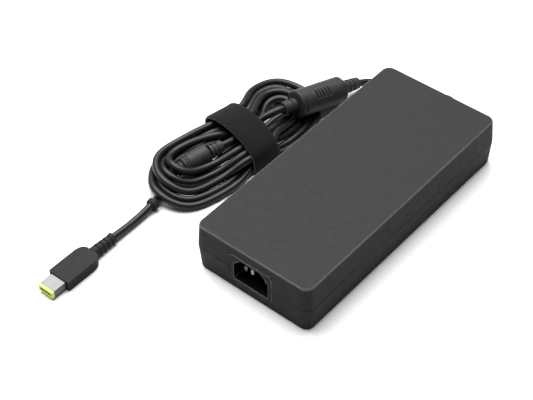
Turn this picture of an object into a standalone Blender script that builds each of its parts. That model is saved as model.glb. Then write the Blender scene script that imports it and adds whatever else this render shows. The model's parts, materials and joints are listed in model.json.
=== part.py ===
"""Laptop power adapter with its bundled low-voltage cord.

Metres, +Z up. The origin is at the middle of the case's underside. The mains inlet
faces -Y, the cord leaves the +Y end, and the bundled cord lies beside the -X side.
"""

import math

import bmesh
import bpy
from mathutils import Matrix, Vector

# Case
CASE_WIDTH = 0.078
CASE_LENGTH = 0.170
CASE_HEIGHT = 0.0308
PARTING_HEIGHT = 0.0160
CORNER_RADIUS = 0.0055
WALL = 0.0022
COVER_DRAFT = 0.0009
BASE_DRAFT = 0.0010
EDGE_ROUND = 0.0010
LIP_HEIGHT = 0.0016
GAP = 0.0003
CORNER_STEPS = 5

# Mains inlet, a three-pin appliance inlet with two cut corners
INLET_WIDTH = 0.0284
INLET_HEIGHT = 0.0186
INLET_CENTRE_Z = 0.0160
SOCKET_WIDTH = 0.0234
SOCKET_HEIGHT = 0.0162
SOCKET_CHAMFER = 0.0052
SOCKET_DEPTH = 0.0162
INLET_RECESS = 0.0005
PIN_WIDTH = 0.0020
PIN_HEIGHT = 0.0040
PIN_SPREAD = 0.0070
LIVE_PIN_Z = 0.0143
EARTH_PIN_Z = 0.0190
LIVE_TIP_DEPTH = 0.0048
EARTH_TIP_DEPTH = 0.0020
PIN_END_Y = -0.0630

# Circuit board and the space that its parts fill
BOARD_WIDTH = 0.0680
BOARD_START_Y = -0.0600
BOARD_END_Y = 0.0740
BOARD_BOTTOM = 0.0052
BOARD_THICKNESS = 0.0016
PARTS_Z = BOARD_BOTTOM + BOARD_THICKNESS + GAP

# Cord, its gland and the pieces on it
CORD_RADIUS = 0.0022
BORE_RADIUS = CORD_RADIUS + 0.0005
GLAND_Z = 0.0120
GLAND_TIP_Y = 0.0945
FERRITE_RADIUS = 0.0077
FERRITE_START = Vector((-0.0613, 0.0719, 0.0085))
FERRITE_END = Vector((-0.0689, 0.0387, 0.0145))
SLEEVE_LENGTH = 0.0110
BEAD_RADIUS = 0.0062
BEAD_START = Vector((-0.0853, -0.0214, 0.0091))
BEAD_END = Vector((-0.0898, -0.0378, 0.0076))
BEAD_FAR_SLEEVE = 0.0080
BEAD_NEAR_SLEEVE = 0.0050
COLLAR_START = Vector((-0.0857, -0.0680, 0.0038))
COLLAR_DIRECTION = Vector((0.13, -1.0, 0.0)).normalized()
COLLAR_LENGTH = 0.0030
HANK_BOTTOM = 0.0019
HANK_TOP = 0.0097
STRAP_CENTRE = Vector((-0.0790, 0.0, 0.0))
STRAP_ANGLE = math.radians(-13)
STRAP_HALF_WIDTH = 0.0228
STRAP_BREADTH = 0.0178
STRAP_THICKNESS = 0.0015
STRAP_CORNER = 0.0022
STRAP_TOP = 0.0161
STRAP_BOTTOM = 0.0002

# Plug
PLUG_X = -0.08485
PLUG_THICKNESS = 0.0068
PLUG_MIDDLE_Z = 0.0036
PLUG_WIDTH = 0.0146
PLUG_BACK_Y = -0.1172
PLUG_SHOULDER_Y = -0.1235
PLUG_FRONT_Y = -0.1420
RELIEF_TIP_Y = -0.1015
RELIEF_RADIUS = 0.0034
TIP_WIDTH = 0.0108
TIP_HEIGHT = 0.0045
TIP_END_Y = -0.1520
TIP_BAND = 0.0015
TIP_WALL = 0.0004

PARTS = None
CUTTERS = None


# Scene and materials

def start_scene():
    """Empty the scene and make one collection for the parts and one for the cutters."""
    global PARTS, CUTTERS
    for old in list(bpy.data.objects):
        bpy.data.objects.remove(old, do_unlink=True)
    PARTS = bpy.data.collections.new("laptop_power_adapter")
    CUTTERS = bpy.data.collections.new("cutters")
    CUTTERS.hide_render = True
    for collection in (PARTS, CUTTERS):
        bpy.context.scene.collection.children.link(collection)


def finish(name, colour, roughness, metallic=0.0):
    """A plain material, made once for each name."""
    material = bpy.data.materials.get(name)
    if material is None:
        material = bpy.data.materials.new(name)
        material.use_nodes = True
        shader = material.node_tree.nodes["Principled BSDF"]
        shader.inputs["Base Color"].default_value = (*colour, 1.0)
        shader.inputs["Roughness"].default_value = roughness
        shader.inputs["Metallic"].default_value = metallic
    return material


def case_plastic():
    return finish("case_plastic", (0.030, 0.030, 0.031), 0.55)


def inlet_plastic():
    return finish("inlet_plastic", (0.010, 0.010, 0.011), 0.45)


def cord_rubber():
    return finish("cord_rubber", (0.020, 0.020, 0.020), 0.50)


def moulded_rubber():
    return finish("moulded_rubber", (0.028, 0.028, 0.028), 0.55)


def hook_and_loop():
    return finish("hook_and_loop", (0.012, 0.012, 0.013), 0.95)


def nickel():
    return finish("nickel", (0.80, 0.80, 0.79), 0.22, 1.0)


def copper():
    return finish("copper", (0.72, 0.36, 0.18), 0.35, 1.0)


def aluminium():
    return finish("aluminium", (0.70, 0.71, 0.72), 0.40, 1.0)


def ferrite():
    return finish("ferrite", (0.045, 0.045, 0.050), 0.60)


def epoxy():
    return finish("epoxy", (0.016, 0.016, 0.018), 0.50)


# Building blocks

def add_object(name, mesh, material, collection=None):
    thing = bpy.data.objects.new(name, mesh)
    (collection or PARTS).objects.link(thing)
    if material:
        mesh.materials.append(material)
    return thing


def add_solid(name, shape, material, collection=None):
    """Turn a bmesh into an object whose faces point outward."""
    bmesh.ops.recalc_face_normals(shape, faces=shape.faces)
    mesh = bpy.data.meshes.new(name)
    shape.to_mesh(mesh)
    shape.free()
    return add_object(name, mesh, material, collection)


def round_over(thing, width, segments=1):
    bevel = thing.modifiers.new("edges", "BEVEL")
    bevel.width = width
    bevel.segments = segments
    bevel.limit_method = "ANGLE"
    bevel.angle_limit = math.radians(40)


def smooth(thing, angle=35):
    thing.data.shade_smooth()
    thing.data.set_sharp_from_angle(angle=math.radians(angle))


def box(name, low, high, material, edge=0.0, collection=None):
    """A block between two opposite corners, with its edges rounded if asked."""
    low, high = Vector(low), Vector(high)
    shape = bmesh.new()
    bmesh.ops.create_cube(shape, size=1.0)
    size = high - low
    bmesh.ops.scale(shape, vec=size, verts=shape.verts)
    thing = add_solid(name, shape, material, collection)
    thing.location = (low + high) / 2
    if edge:
        round_over(thing, edge)
    return thing


def drum(name, radius, length, centre, direction, material, sides=16, edge=0.0, collection=None):
    """A solid cylinder along any direction."""
    shape = bmesh.new()
    bmesh.ops.create_cone(
        shape, cap_ends=True, segments=sides, radius1=radius, radius2=radius, depth=length
    )
    thing = add_solid(name, shape, material, collection)
    thing.location = centre
    thing.rotation_mode = "QUATERNION"
    thing.rotation_quaternion = Vector(direction).to_track_quat("Z", "Y")
    if edge:
        round_over(thing, edge)
    smooth(thing)
    return thing


def turned(name, profile, start, direction, material, sides=20):
    """Turn a closed (radius, distance) outline about the line from start along direction."""
    shape = bmesh.new()
    corners = [shape.verts.new((radius, 0.0, along)) for radius, along in profile]
    for index, corner in enumerate(corners):
        shape.edges.new((corner, corners[(index + 1) % len(corners)]))
    mesh = bpy.data.meshes.new(name)
    shape.to_mesh(mesh)
    shape.free()
    thing = add_object(name, mesh, material)
    screw = thing.modifiers.new("turn", "SCREW")
    screw.axis = "Z"
    screw.steps = sides
    screw.render_steps = sides
    screw.use_merge_vertices = True
    screw.merge_threshold = 0.00001
    thing.location = start
    thing.rotation_mode = "QUATERNION"
    thing.rotation_quaternion = Vector(direction).to_track_quat("Z", "Y")
    smooth(thing)
    return thing


def cut(target, cutter):
    boolean = target.modifiers.new("cut_" + cutter.name, "BOOLEAN")
    boolean.operation = "DIFFERENCE"
    boolean.solver = "EXACT"
    boolean.object = cutter
    cutter.hide_render = True
    cutter.display_type = "WIRE"


def join(target, extra):
    boolean = target.modifiers.new("add_" + extra.name, "BOOLEAN")
    boolean.operation = "UNION"
    boolean.solver = "EXACT"
    boolean.object = extra
    extra.hide_render = True
    extra.display_type = "WIRE"


def loft(name, rings, material):
    """Skin a stack of rings that have the same number of points, and close both ends."""
    shape = bmesh.new()
    loops = [[shape.verts.new(point) for point in ring] for ring in rings]
    count = len(loops[0])
    for lower, upper in zip(loops, loops[1:]):
        for index in range(count):
            following = (index + 1) % count
            shape.faces.new((lower[index], lower[following], upper[following], upper[index]))
    shape.faces.new(loops[0])
    shape.faces.new(loops[-1])
    return add_solid(name, shape, material)


def rounded_ring(half_x, half_y, radius, height):
    """Points round a rectangle with round corners, at one height."""
    ring = []
    for quarter, (sign_x, sign_y) in enumerate(((1, 1), (-1, 1), (-1, -1), (1, -1))):
        for step in range(CORNER_STEPS + 1):
            angle = math.pi / 2 * (quarter + step / CORNER_STEPS)
            ring.append(Vector((
                sign_x * (half_x - radius) + radius * math.cos(angle),
                sign_y * (half_y - radius) + radius * math.sin(angle),
                height,
            )))
    return ring


def smooth_route(points, spacing, closed=False):
    """Points at an even spacing on the smooth curve that passes through the given ones."""
    points = [Vector(point) for point in points]
    count = len(points)
    if closed:
        chain = [points[-1]] + points + points[:2]
    else:
        chain = [2 * points[0] - points[1]] + points + [2 * points[-1] - points[-2]]
    route = []
    for index in range(count if closed else count - 1):
        before, start, end, after = chain[index:index + 4]
        steps = max(1, round((end - start).length / spacing))
        for step in range(steps):
            t = step / steps
            route.append(0.5 * (
                2 * start
                + (end - before) * t
                + (2 * before - 5 * start + 4 * end - after) * t ** 2
                + (3 * start - before - 3 * end + after) * t ** 3
            ))
    if not closed:
        route.append(points[-1])
    return route


def wire(name, route, radius, material, bevel_resolution=2):
    """A round wire or cord along a list of points."""
    curve = bpy.data.curves.new(name, "CURVE")
    curve.dimensions = "3D"
    curve.bevel_depth = radius
    curve.bevel_resolution = bevel_resolution
    curve.use_fill_caps = True
    spline = curve.splines.new("POLY")
    spline.points.add(len(route) - 1)
    for point, place in zip(spline.points, route):
        point.co = (*place, 1.0)
    thing = bpy.data.objects.new(name, curve)
    PARTS.objects.link(thing)
    curve.materials.append(material)
    return thing


def plate(name, outlines, bottom, top, material):
    """A flat plate with upright sides: the first outline is its edge, the rest are holes."""
    curve = bpy.data.curves.new(name, "CURVE")
    curve.dimensions = "2D"
    curve.fill_mode = "BOTH"
    curve.extrude = (top - bottom) / 2
    for outline in outlines:
        spline = curve.splines.new("POLY")
        spline.points.add(len(outline) - 1)
        for point, place in zip(spline.points, outline):
            point.co = (place[0], place[1], 0.0, 1.0)
        spline.use_cyclic_u = True
    flat = bpy.data.objects.new(name + "_outline", curve)
    PARTS.objects.link(flat)
    flat.location.z = (top + bottom) / 2
    bpy.context.view_layer.update()
    evaluated = flat.evaluated_get(bpy.context.evaluated_depsgraph_get())
    mesh = bpy.data.meshes.new_from_object(evaluated)
    place = flat.matrix_world.copy()
    bpy.data.objects.remove(flat, do_unlink=True)
    shape = bmesh.new()
    shape.from_mesh(mesh)
    bmesh.ops.remove_doubles(shape, verts=shape.verts, dist=0.000001)
    thing = add_solid(name, shape, material)
    thing.matrix_world = place
    return thing


# Case

def case_ring(inset, height):
    radius = max(CORNER_RADIUS - inset / 2, 0.0012)
    return rounded_ring(CASE_WIDTH / 2 - inset, CASE_LENGTH / 2 - inset, radius, height)


def edge_rings(draft, height, direction, steps=3):
    """The rings of a small round edge, where a drafted wall meets a flat face."""
    rings = []
    for step in range(steps + 1):
        angle = math.pi / 2 * step / steps
        inset = draft + EDGE_ROUND * (1 - math.cos(angle))
        rings.append(case_ring(inset, height - direction * EDGE_ROUND * (1 - math.sin(angle))))
    return rings


def make_upper_cover():
    rim = PARTING_HEIGHT + GAP / 2
    rebate = rim + LIP_HEIGHT
    rings = [
        case_ring(COVER_DRAFT + WALL, CASE_HEIGHT - WALL),
        case_ring(WALL, rebate),
        case_ring(WALL / 2, rebate),
        case_ring(WALL / 2, rim),
        case_ring(0.0, rim),
    ]
    rings += edge_rings(COVER_DRAFT, CASE_HEIGHT, 1)
    return loft("upper_cover", rings, case_plastic())


def make_lower_case():
    rim = PARTING_HEIGHT - GAP / 2
    tongue = WALL / 2 + GAP
    rings = [
        case_ring(BASE_DRAFT + WALL, WALL),
        case_ring(WALL, rim + LIP_HEIGHT - GAP),
        case_ring(tongue, rim + LIP_HEIGHT - GAP),
        case_ring(tongue, rim),
        case_ring(0.0, rim),
    ]
    rings += edge_rings(BASE_DRAFT, 0.0, -1)
    base = loft("lower_case", rings, case_plastic())
    post_top = BOARD_BOTTOM - GAP
    for index, (x, y) in enumerate(post_places()):
        post = drum(
            f"post_{index}", 0.0022, post_top - WALL / 2, (x, y, (post_top + WALL / 2) / 2),
            (0, 0, 1), None, sides=10, collection=CUTTERS,
        )
        join(base, post)
    return base


def post_places():
    """Where the board stands on the lower case."""
    for x in (-0.0315, 0.0315):
        for y in (BOARD_START_Y + 0.004, BOARD_END_Y - 0.004):
            yield x, y


def open_case_ends(cover, base):
    """Cut the inlet's window in one end and the gland's slot in the other."""
    half_x = INLET_WIDTH / 2 + GAP
    half_z = INLET_HEIGHT / 2 + GAP
    window = box(
        "inlet_window",
        (-half_x, -CASE_LENGTH / 2 - 0.002, INLET_CENTRE_Z - half_z),
        (half_x, -CASE_LENGTH / 2 + 0.005, INLET_CENTRE_Z + half_z),
        None, collection=CUTTERS,
    )
    half_slot = 0.0046
    slot = box(
        "gland_slot",
        (-half_slot, CASE_LENGTH / 2 - 0.006, GLAND_Z - half_slot),
        (half_slot, CASE_LENGTH / 2 + 0.002, GLAND_Z + half_slot + 0.0006),
        None, collection=CUTTERS,
    )
    label_bed = box(
        "label_bed", (-0.028, -0.055, -0.001), (0.028, 0.055, 0.0005), None, collection=CUTTERS
    )
    for cutter in (window, slot):
        cut(cover, cutter)
        cut(base, cutter)
    cut(base, label_bed)


def make_rating_label():
    """A blank foil label in the shallow bed under the case."""
    foil = finish("label_foil", (0.60, 0.60, 0.60), 0.5)
    box("rating_label", (-0.0277, -0.0547, 0.0001), (0.0277, 0.0547, 0.0003), foil)


# Mains inlet

def inlet_ring(width, height, chamfer, y, low_radius=0.0008):
    """Points round an inlet section, whose two upper corners may be cut off."""
    ring = []
    corners = ((1, 1, chamfer), (-1, 1, chamfer), (-1, -1, low_radius), (1, -1, low_radius))
    for quarter, (sign_x, sign_z, size) in enumerate(corners):
        for step in range(3):
            angle = math.pi / 2 * (quarter + step / 2)
            reach = (math.cos(angle), math.sin(angle))
            if size == chamfer and step == 1:
                reach = (sign_x / 2, sign_z / 2)
            ring.append(Vector((
                sign_x * (width / 2 - size) + size * reach[0],
                y,
                INLET_CENTRE_Z + sign_z * (height / 2 - size) + size * reach[1],
            )))
    return ring


def make_inlet_housing():
    """A cup with a flange that locks behind the case wall."""
    front = -CASE_LENGTH / 2 + INLET_RECESS
    behind_wall = -CASE_LENGTH / 2 + WALL + BASE_DRAFT + GAP
    floor = front + SOCKET_DEPTH
    flange = 0.0014
    body = (INLET_WIDTH - 0.0010, INLET_HEIGHT - 0.0010)
    small = 0.0010
    rings = [
        inlet_ring(SOCKET_WIDTH, SOCKET_HEIGHT, SOCKET_CHAMFER, floor),
        inlet_ring(SOCKET_WIDTH, SOCKET_HEIGHT, SOCKET_CHAMFER, front),
        inlet_ring(INLET_WIDTH, INLET_HEIGHT, small, front),
        inlet_ring(INLET_WIDTH, INLET_HEIGHT, small, behind_wall),
        inlet_ring(INLET_WIDTH + 2 * flange, INLET_HEIGHT + 2 * flange, small, behind_wall),
        inlet_ring(INLET_WIDTH + 2 * flange, INLET_HEIGHT + 2 * flange, small, behind_wall + flange),
        inlet_ring(body[0], body[1], small, behind_wall + flange),
        inlet_ring(body[0], body[1], small, floor + 0.0025),
    ]
    return loft("inlet_housing", rings, inlet_plastic())


def make_inlet_pins(housing):
    pins = (
        ("line", -PIN_SPREAD, LIVE_PIN_Z, LIVE_TIP_DEPTH),
        ("neutral", PIN_SPREAD, LIVE_PIN_Z, LIVE_TIP_DEPTH),
        ("earth", 0.0, EARTH_PIN_Z, EARTH_TIP_DEPTH),
    )
    half_x, half_z = PIN_WIDTH / 2, PIN_HEIGHT / 2
    for name, x, z, depth in pins:
        tip = -CASE_LENGTH / 2 + depth
        box(
            f"inlet_pin_{name}", (x - half_x, tip, z - half_z), (x + half_x, PIN_END_Y, z + half_z),
            nickel(), edge=0.0004,
        )
        hole = box(
            f"pin_hole_{name}",
            (x - half_x - GAP, -0.071, z - half_z - GAP),
            (x + half_x + GAP, -0.060, z + half_z + GAP),
            None, collection=CUTTERS,
        )
        cut(housing, hole)


def make_inlet_wires():
    """Short leads from the pins down to the board."""
    colours = {
        "line": ((0.30, 0.14, 0.06), -PIN_SPREAD, LIVE_PIN_Z),
        "neutral": ((0.05, 0.12, 0.45), PIN_SPREAD, LIVE_PIN_Z),
        "earth": ((0.10, 0.40, 0.12), 0.0, EARTH_PIN_Z),
    }
    start_y = PIN_END_Y + GAP
    for name, (colour, x, z) in colours.items():
        route = smooth_route([
            (x, start_y, z),
            (x, start_y + 0.0025, z - 0.0002),
            (x, start_y + 0.0050, z - 0.0026),
            (x, start_y + 0.0055, z - 0.0050),
            (x, start_y + 0.0055, PARTS_Z + 0.0001),
        ], 0.0022)
        wire(f"inlet_wire_{name}", route, 0.0008, finish(name + "_wire", colour, 0.5))


# Circuit board and the parts on it

def make_board():
    green = finish("board_green", (0.03, 0.16, 0.07), 0.4)
    half = BOARD_WIDTH / 2
    box(
        "circuit_board", (-half, BOARD_START_Y, BOARD_BOTTOM),
        (half, BOARD_END_Y, BOARD_BOTTOM + BOARD_THICKNESS), green,
    )
    paper = finish("insulating_film", (0.75, 0.72, 0.62), 0.7)
    box("insulating_sheet", (-0.0280, -0.0600, 0.0026), (0.0280, 0.0760, 0.0030), paper)


def cored_coil(name, centre, size, coil_colour):
    """A ferrite core with two windows, and a winding round its middle leg."""
    centre, size = Vector(centre), Vector(size)
    low = centre - size / 2
    high = centre + size / 2
    leg = size.x * 0.28
    frame = size.x * 0.14
    yoke = size.y * 0.18
    core = box(f"{name}_core", low, high, ferrite())
    for side in (-1, 1):
        inner = centre.x + side * leg / 2
        outer = centre.x + side * (size.x / 2 - frame)
        window = box(
            f"{name}_window_{side}",
            (min(inner, outer), low.y + yoke, low.z - 0.001),
            (max(inner, outer), high.y - yoke, high.z + 0.001),
            None, collection=CUTTERS,
        )
        cut(core, window)
    half_x = size.x / 2 - frame - 2 * GAP
    winding = box(
        f"{name}_winding",
        (centre.x - half_x, low.y + yoke + GAP, low.z - 0.0000),
        (centre.x + half_x, high.y - yoke - GAP, high.z + 0.0016),
        finish(name + "_tape", coil_colour, 0.5),
    )
    tunnel = box(
        f"{name}_tunnel",
        (centre.x - leg / 2 - GAP, low.y, low.z + 0.0028 - GAP),
        (centre.x + leg / 2 + GAP, high.y, high.z + GAP),
        None, collection=CUTTERS,
    )
    cut(winding, tunnel)
    underside = box(
        f"{name}_underside",
        (centre.x - leg / 2 - 2 * GAP, low.y + yoke - 0.001, low.z - 0.001),
        (centre.x + leg / 2 + 2 * GAP, high.y - yoke + 0.001, low.z + 0.0028),
        None, collection=CUTTERS,
    )
    cut(core, underside)


def upright_can(name, radius, height, x, y, colour):
    drum(
        name, radius, height, (x, y, PARTS_Z + height / 2), (0, 0, 1),
        finish("capacitor_sleeve", colour, 0.35), sides=16, edge=0.0006,
    )


def make_mains_side():
    """Fuse, surge stop, filter, rectifier and boost stage."""
    drum(
        "fuse", 0.0026, 0.0200, (-0.0200, -0.0525, PARTS_Z + 0.0026), (1, 0, 0),
        finish("fuse_ceramic", (0.75, 0.73, 0.68), 0.4), sides=12,
    )
    drum(
        "varistor", 0.0068, 0.0046, (0.0250, -0.0535, PARTS_Z + 0.0068), (0, 1, 0),
        finish("varistor_blue", (0.05, 0.16, 0.45), 0.45), sides=16, edge=0.0010,
    )
    yellow = finish("film_yellow", (0.70, 0.52, 0.06), 0.5)
    box("filter_capacitor", (-0.0310, -0.0470, PARTS_Z), (-0.0050, -0.0370, PARTS_Z + 0.0160), yellow, 0.0006)
    cored_coil("filter_choke", (0.0140, -0.0370, PARTS_Z + 0.0083), (0.0240, 0.0200, 0.0166), (0.62, 0.35, 0.10))
    box("bridge_rectifier", (-0.0290, -0.0325, PARTS_Z), (-0.0090, -0.0285, PARTS_Z + 0.0150), epoxy(), 0.0005)
    cored_coil("boost_choke", (-0.0180, -0.0130, PARTS_Z + 0.0083), (0.0240, 0.0240, 0.0166), (0.70, 0.62, 0.12))
    drum(
        "bulk_capacitor", 0.0090, 0.0400, (0.0190, -0.0020, PARTS_Z + 0.0091), (0, 1, 0),
        finish("capacitor_sleeve", (0.02, 0.02, 0.05), 0.35), sides=20, edge=0.0008,
    )
    aluminium_plate = ((-0.0330, -0.0500, PARTS_Z), (-0.0315, 0.0200, PARTS_Z + 0.0180))
    box("mains_heat_sink", *aluminium_plate, aluminium(), 0.0003)


def make_output_side():
    """Transformer, switches, output rectifier, smoothing and the second heat sink."""
    cored_coil("transformer", (-0.0060, 0.0370, PARTS_Z + 0.0085), (0.0300, 0.0280, 0.0170), (0.72, 0.60, 0.10))
    for index in range(2):
        y = 0.0060 + 0.0120 * index
        box(
            f"switch_transistor_{index + 1}", (-0.0312, y - 0.0050, PARTS_Z + 0.0010),
            (-0.0268, y + 0.0050, PARTS_Z + 0.0160), epoxy(), 0.0004,
        )
    box("output_heat_sink", (0.0315, 0.0220, PARTS_Z), (0.0330, 0.0680, PARTS_Z + 0.0180), aluminium(), 0.0003)
    box("output_rectifier", (0.0268, 0.0300, PARTS_Z + 0.0010), (0.0312, 0.0400, PARTS_Z + 0.0160), epoxy(), 0.0004)
    for index in range(3):
        upright_can(f"output_capacitor_{index + 1}", 0.0050, 0.0170, -0.0170 + 0.0115 * index, 0.0600, (0.02, 0.02, 0.05))
    drum(
        "output_choke", 0.0058, 0.0090, (0.0200, 0.0600, PARTS_Z + 0.0045), (0, 0, 1),
        copper(), sides=16, edge=0.0006,
    )
    drum(
        "safety_capacitor", 0.0042, 0.0040, (0.0180, 0.0250, PARTS_Z + 0.0042), (0, 1, 0),
        finish("varistor_blue", (0.05, 0.16, 0.45), 0.45), sides=12, edge=0.0008,
    )


def make_heat_spreader():
    """A folded plate over the parts, with a soft pad between it and the cover."""
    box("heat_spreader", (-0.0330, -0.0560, 0.0266), (0.0330, 0.0700, 0.0274), aluminium(), 0.0002)
    pad = finish("gap_pad", (0.55, 0.56, 0.60), 0.8)
    box("thermal_pad", (-0.0290, -0.0460, 0.0277), (0.0290, 0.0600, 0.0283), pad)


def make_output_wires():
    """The cord's two cores, from the board to the gland."""
    for name, side, colour in (("positive", 1, (0.45, 0.03, 0.02)), ("negative", -1, (0.02, 0.02, 0.02))):
        x = side * 0.0030
        route = smooth_route([
            (x, 0.0700, PARTS_Z + 0.0001),
            (x, 0.0700, PARTS_Z + 0.0022),
            (x * 0.9, 0.0718, PARTS_Z + 0.0041),
            (x * 0.7, 0.0750, GLAND_Z - 0.0004),
            (x * 0.55, 0.0790, GLAND_Z),
        ], 0.0022)
        wire(f"output_wire_{name}", route, 0.0010, finish(name + "_core", colour, 0.5))


# Cord, from the gland to the plug

def grooved_sleeve(radius_root, radius_tip, length, grooves, depth):
    """Profile of a tapered flexible sleeve with ring grooves and a bore for the cord."""
    profile = [(radius_root, 0.0)]
    pitch = length * 0.62 / grooves
    for index in range(grooves):
        start = length * 0.16 + pitch * index
        end = start + pitch * 0.42
        for along, inset in ((start, 0.0), (start, depth), (end, depth), (end, 0.0)):
            radius = radius_root + (radius_tip - radius_root) * along / length
            profile.append((radius - inset, along))
    profile += [(radius_tip, length), (BORE_RADIUS, length), (BORE_RADIUS, 0.0)]
    return profile[::-1]


def make_gland():
    """The sleeve that holds the cord in the case wall; a flange locks it inside."""
    inside = CASE_LENGTH / 2 - WALL - BASE_DRAFT - GAP
    outside = CASE_LENGTH / 2 + GAP
    neck = 0.0042
    profile = [
        (0.0, inside - 0.0020),
        (0.0056, inside - 0.0020),
        (0.0056, inside),
        (neck, inside),
        (neck, outside),
        (0.0048, outside),
        (0.0046, outside + 0.0016),
        (0.0034, outside + 0.0024),
        (0.0041, outside + 0.0024),
        (0.0039, outside + 0.0044),
        (0.0031, outside + 0.0052),
        (0.0036, outside + 0.0052),
        (0.0033, GLAND_TIP_Y),
        (0.0, GLAND_TIP_Y),
    ]
    turned("cord_gland", profile[::-1], (0, 0, GLAND_Z), (0, 1, 0), moulded_rubber())


def make_ferrite(name, start, end, radius, sleeve_lengths, direction_names):
    """A moulded cover with a ferrite core inside and a grooved sleeve at each end."""
    along = end - start
    length = along.length
    chamfer = radius * 0.20
    wall = 0.0012
    lip = 0.0024
    cavity = radius - wall
    cover = [
        (radius - chamfer, 0.0),
        (radius, chamfer),
        (radius, length - chamfer),
        (radius - chamfer, length),
        (BORE_RADIUS, length),
        (BORE_RADIUS, length - lip),
        (cavity, length - lip),
        (cavity, lip),
        (BORE_RADIUS, lip),
        (BORE_RADIUS, 0.0),
    ]
    turned(f"{name}_cover", cover[::-1], start, along, moulded_rubber())
    core_start, core_end = lip + GAP, length - lip - GAP
    core = [
        (cavity - GAP, core_start),
        (cavity - GAP, core_end),
        (BORE_RADIUS, core_end),
        (BORE_RADIUS, core_start),
    ]
    turned(f"{name}_core", core[::-1], start, along, ferrite())
    unit = along.normalized()
    ends = ((start - unit * GAP, -unit), (end + unit * GAP, unit))
    for (place, direction), sleeve, side in zip(ends, sleeve_lengths, direction_names):
        profile = grooved_sleeve(0.0044, 0.0036, sleeve, 2, 0.0007)
        turned(f"{name}_{side}_sleeve", profile, place, direction, moulded_rubber(), sides=16)


def lead_route():
    """From the gland, round behind the case, through the ferrite and down to the strap."""
    unit = (FERRITE_END - FERRITE_START).normalized()
    through = [FERRITE_START + unit * d for d in (-0.0150, -0.0075, 0.0, 0.0110, 0.0230)]
    through += [FERRITE_END + unit * d for d in (0.0, 0.0070, 0.0130)]
    before = [
        (0.0, GLAND_TIP_Y + GAP, GLAND_Z),
        (-0.0001, 0.0975, 0.0118),
        (-0.0030, 0.1017, 0.0102),
        (-0.0072, 0.1038, 0.0080),
        (-0.0125, 0.1046, 0.0058),
        (-0.0230, 0.1040, 0.0034),
        (-0.0350, 0.1008, 0.0028),
        (-0.0460, 0.0965, 0.0031),
        (-0.0540, 0.0915, 0.0042),
    ]
    after = [(-0.0736, 0.0215, 0.0160), (-0.0762, 0.0150, 0.0134), (-0.0771, 0.0096, 0.0122)]
    return before + through + after


def tail_route():
    """From the strap, through the small bead, under the bundle's near end and to the plug."""
    unit = (BEAD_END - BEAD_START).normalized()
    through = [BEAD_START + unit * d for d in (-0.0112, -0.0060, 0.0, 0.0060, 0.0120)]
    through += [BEAD_END + unit * d for d in (0.0, 0.0060)]
    after = [
        (-0.0916, -0.0490, 0.0046),
        (-0.0902, -0.0550, 0.0033),
        (-0.0876, -0.0620, 0.0033),
        COLLAR_START,
        COLLAR_START + COLLAR_DIRECTION * COLLAR_LENGTH,
        (-0.0847, -0.0760, 0.0032),
        (-0.0845, -0.0840, 0.0027),
        (-0.0847, -0.0920, 0.0029),
        (PLUG_X, RELIEF_TIP_Y + GAP, PLUG_MIDDLE_Z),
    ]
    return through + after


def hank_outline():
    """The outer edge of the bundled turns, seen from above."""
    return smooth_route([
        (-0.0981, 0.0045, 0), (-0.1024, -0.0062, 0), (-0.1085, -0.0170, 0), (-0.1116, -0.0310, 0),
        (-0.1085, -0.0460, 0), (-0.0995, -0.0580, 0), (-0.0860, -0.0643, 0), (-0.0725, -0.0615, 0),
        (-0.0630, -0.0510, 0), (-0.0585, -0.0370, 0), (-0.0590, -0.0240, 0), (-0.0617, -0.0130, 0),
        (-0.0600, -0.0045, 0), (-0.0574, 0.0050, 0), (-0.0560, 0.0180, 0), (-0.0563, 0.0330, 0),
        (-0.0600, 0.0460, 0), (-0.0685, 0.0555, 0), (-0.0800, 0.0590, 0), (-0.0925, 0.0570, 0),
        (-0.1008, 0.0490, 0), (-0.1030, 0.0380, 0), (-0.1010, 0.0240, 0), (-0.0972, 0.0125, 0),
    ], 0.0050, closed=True)


def hank_hole():
    """The open middle of the bundle's near end, where the small bead lies."""
    return smooth_route([
        (-0.0822, -0.0082, 0), (-0.0880, -0.0108, 0), (-0.0950, -0.0240, 0), (-0.0975, -0.0340, 0),
        (-0.0962, -0.0450, 0), (-0.0915, -0.0510, 0), (-0.0860, -0.0470, 0), (-0.0815, -0.0360, 0),
        (-0.0775, -0.0260, 0), (-0.0765, -0.0128, 0),
    ], 0.0060, closed=True)


def make_hank():
    """One solid of the outer shape of the bundled turns."""
    hank = plate("cord_hank", [hank_outline(), hank_hole()], HANK_BOTTOM, HANK_TOP, cord_rubber())
    unit = (FERRITE_END - FERRITE_START).normalized()
    saddle = drum(
        "ferrite_saddle", FERRITE_RADIUS + 2 * GAP, 0.075,
        (FERRITE_START + FERRITE_END) / 2, unit, None, sides=24, collection=CUTTERS,
    )
    cut(hank, saddle)
    tunnel_start = Vector((-0.0921, -0.0440, 0.0))
    tunnel_end = Vector((-0.0852, -0.0700, 0.0))
    along = tunnel_end - tunnel_start
    tunnel = drum(
        "tail_tunnel", 0.0046, along.length, (tunnel_start + tunnel_end) / 2 + Vector((0, 0, 0.0034)),
        along, None, sides=16, collection=CUTTERS,
    )
    cut(hank, tunnel)


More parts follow.
